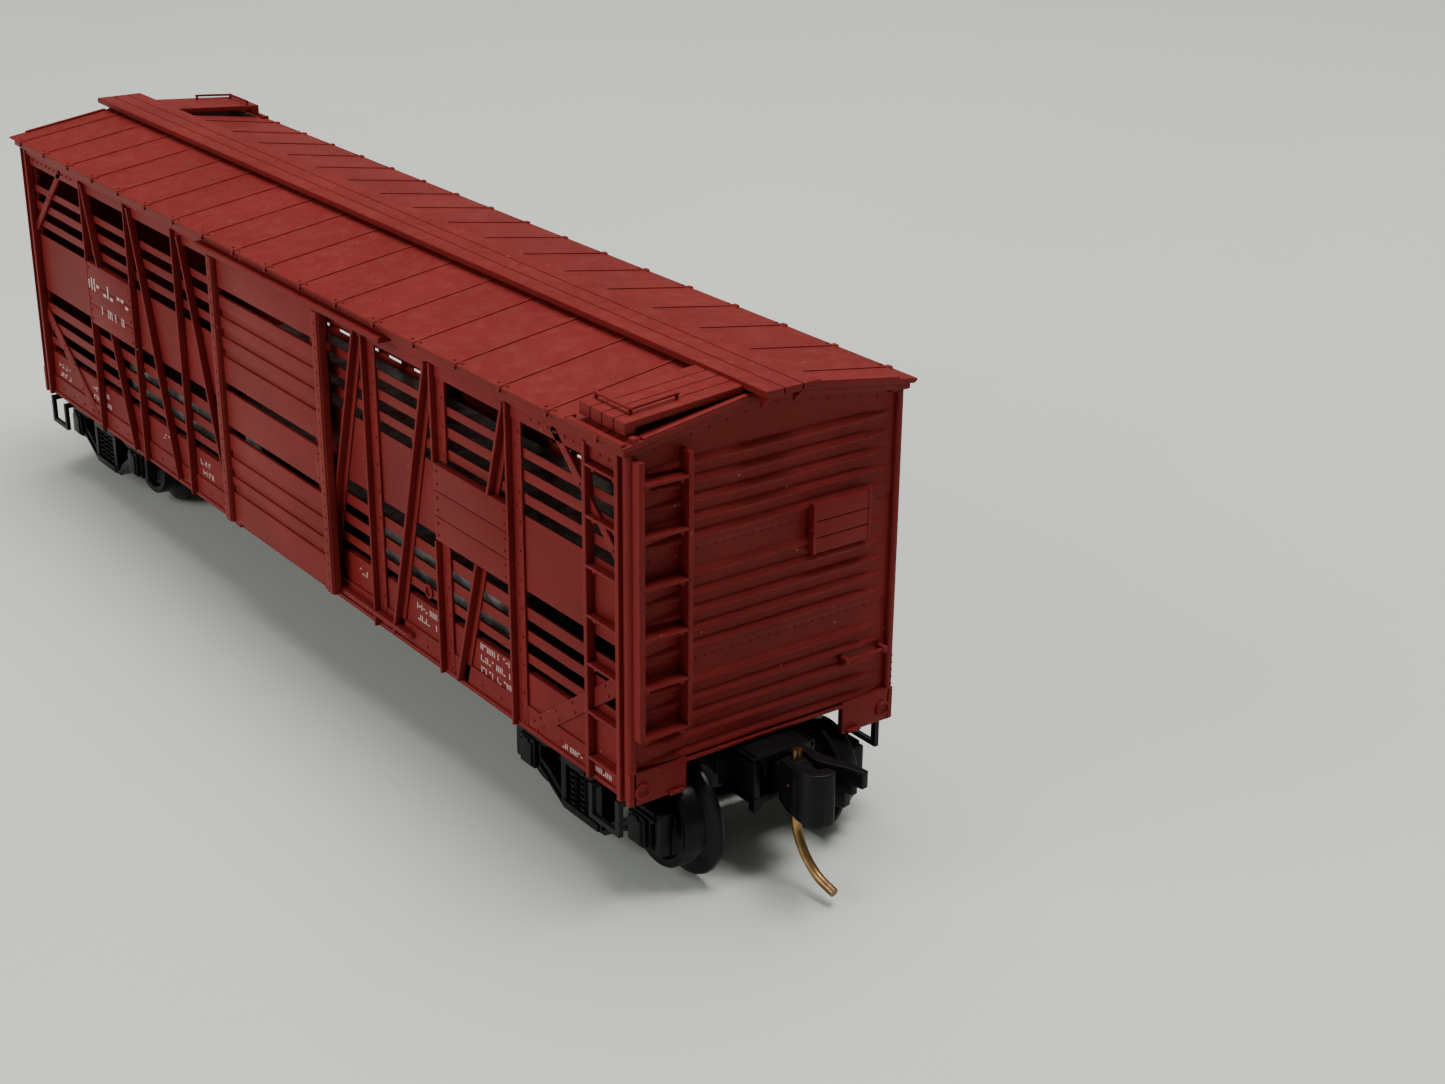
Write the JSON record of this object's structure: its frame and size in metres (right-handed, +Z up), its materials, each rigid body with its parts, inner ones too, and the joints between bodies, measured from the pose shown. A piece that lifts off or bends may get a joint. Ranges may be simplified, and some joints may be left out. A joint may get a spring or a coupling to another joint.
{
  "type": "model stock car",
  "caption": "Slatted model stock car with sliding side doors, ladders, running board, swivelling sprung-coupler trucks and spinning wheelsets.",
  "frame": {"origin": "on the table plane the wheels stand on, at the centre of the car", "axes": "+X along the car towards the A end (no hand brake), +Y to its left, +Z up"},
  "size_m": [0.091, 0.0186, 0.027],
  "materials": {
    "body_red": "matt oxide-red moulded plastic",
    "door_red": "matt oxide-red moulded plastic, slightly paler",
    "roof_red": "matt oxide-red moulded plastic, lit face",
    "frame_black": "matt black moulded plastic",
    "truck_black": "slippery black engineering plastic, satin",
    "wheel_black": "smooth black moulded plastic",
    "axle_steel": "turned steel",
    "weight_steel": "plain rolled plate",
    "spring_steel": "drawn wire",
    "pin_bronze": "drawn phosphor-bronze wire, lightly tarnished"
  },
  "bodies": {
    "car": {"side_slats_right": "body_red", "side_frame_ladder_right": "body_red", "side_frame_plain_right": "body_red", "door_track_right": "body_red", "door_ledge_right": "body_red", "side_slats_left": "body_red", "side_frame_ladder_left": "body_red", "side_frame_plain_left": "body_red", "door_track_left": "body_red", "door_ledge_left": "body_red", "end_wall_a": "body_red", "end_wall_b": "body_red", "end_ladder_a": "body_red", "end_ladder_b": "body_red", "tack_board_a": "body_red", "tack_board_b": "body_red", "roof": "roof_red", "running_board": "roof_red", "underframe": "frame_black", "floor_plate": "frame_black", "floor_weight": "weight_steel", "air_reservoir": "frame_black", "brake_cylinder": "frame_black", "brake_housing": "body_red", "brake_wheel": "body_red", "kingpin_a": "frame_black", "kingpin_b": "frame_black", "body_bolster_a": "frame_black", "body_bolster_b": "frame_black"},
    "door_right": {"door_right": "door_red"},
    "door_left": {"door_left": "door_red"},
    "truck_a": {"truck_frame_a": "truck_black", "coupler_box_a": "truck_black", "coupler_lid_a": "truck_black", "coupler_spring_a": "spring_steel"},
    "coupler_a": {"coupler_guard_a": "truck_black"},
    "knuckle_a": {"coupler_knuckle_a": "truck_black", "trip_pin_a": "pin_bronze"},
    "wheelset_a_outer": {"axle_a_outer": "axle_steel", "wheel_a_outer_left": "wheel_black", "wheel_a_outer_right": "wheel_black"},
    "wheelset_a_inner": {"axle_a_inner": "axle_steel", "wheel_a_inner_left": "wheel_black", "wheel_a_inner_right": "wheel_black"},
    "truck_b": {"truck_frame_b": "truck_black", "coupler_box_b": "truck_black", "coupler_lid_b": "truck_black", "coupler_spring_b": "spring_steel"},
    "coupler_b": {"coupler_guard_b": "truck_black"},
    "knuckle_b": {"coupler_knuckle_b": "truck_black", "trip_pin_b": "pin_bronze"},
    "wheelset_b_outer": {"axle_b_outer": "axle_steel", "wheel_b_outer_left": "wheel_black", "wheel_b_outer_right": "wheel_black"},
    "wheelset_b_inner": {"axle_b_inner": "axle_steel", "wheel_b_inner_left": "wheel_black", "wheel_b_inner_right": "wheel_black"}
  },
  "joints": [
    {"name": "door_right_slide", "type": "slide", "parent": "car", "child": "door_right", "axis": [1, 0, 0], "range_m": [0, 0.008]},
    {"name": "door_left_slide", "type": "slide", "parent": "car", "child": "door_left", "axis": [-1, 0, 0], "range_m": [0, 0.008]},
    {"name": "truck_a_swivel", "type": "hinge", "parent": "car", "child": "truck_a", "pos_m": [0.0323, 0, 0.0054], "axis": [0, 0, 1], "range_deg": [-6, 6]},
    {"name": "coupler_a_swing", "type": "hinge", "parent": "truck_a", "child": "coupler_a", "pos_m": [0.0395, 0, 0.0063], "axis": [0, 0, 1], "range_deg": [-8, 8], "stiffness_Nm_per_rad": 0.0006},
    {"name": "knuckle_a_open", "type": "hinge", "parent": "coupler_a", "child": "knuckle_a", "pos_m": [0.0395, 0, 0.0055], "axis": [0, 0, -1], "range_deg": [0, 6], "stiffness_Nm_per_rad": 0.0006},
    {"name": "wheelset_a_outer_spin", "type": "hinge", "parent": "truck_a", "child": "wheelset_a_outer", "pos_m": [0.03755, 0, 0.00342], "axis": [0, 1, 0], "continuous": true},
    {"name": "wheelset_a_inner_spin", "type": "hinge", "parent": "truck_a", "child": "wheelset_a_inner", "pos_m": [0.02705, 0, 0.00342], "axis": [0, 1, 0], "continuous": true},
    {"name": "truck_b_swivel", "type": "hinge", "parent": "car", "child": "truck_b", "pos_m": [-0.0323, 0, 0.0054], "axis": [0, 0, 1], "range_deg": [-6, 6]},
    {"name": "coupler_b_swing", "type": "hinge", "parent": "truck_b", "child": "coupler_b", "pos_m": [-0.0395, 0, 0.0063], "axis": [0, 0, 1], "range_deg": [-8, 8], "stiffness_Nm_per_rad": 0.0006},
    {"name": "knuckle_b_open", "type": "hinge", "parent": "coupler_b", "child": "knuckle_b", "pos_m": [-0.0395, 0, 0.0055], "axis": [0, 0, -1], "range_deg": [0, 6], "stiffness_Nm_per_rad": 0.0006},
    {"name": "wheelset_b_outer_spin", "type": "hinge", "parent": "truck_b", "child": "wheelset_b_outer", "pos_m": [-0.03755, 0, 0.00342], "axis": [0, 1, 0], "continuous": true},
    {"name": "wheelset_b_inner_spin", "type": "hinge", "parent": "truck_b", "child": "wheelset_b_inner", "pos_m": [-0.02705, 0, 0.00342], "axis": [0, 1, 0], "continuous": true}
  ]
}
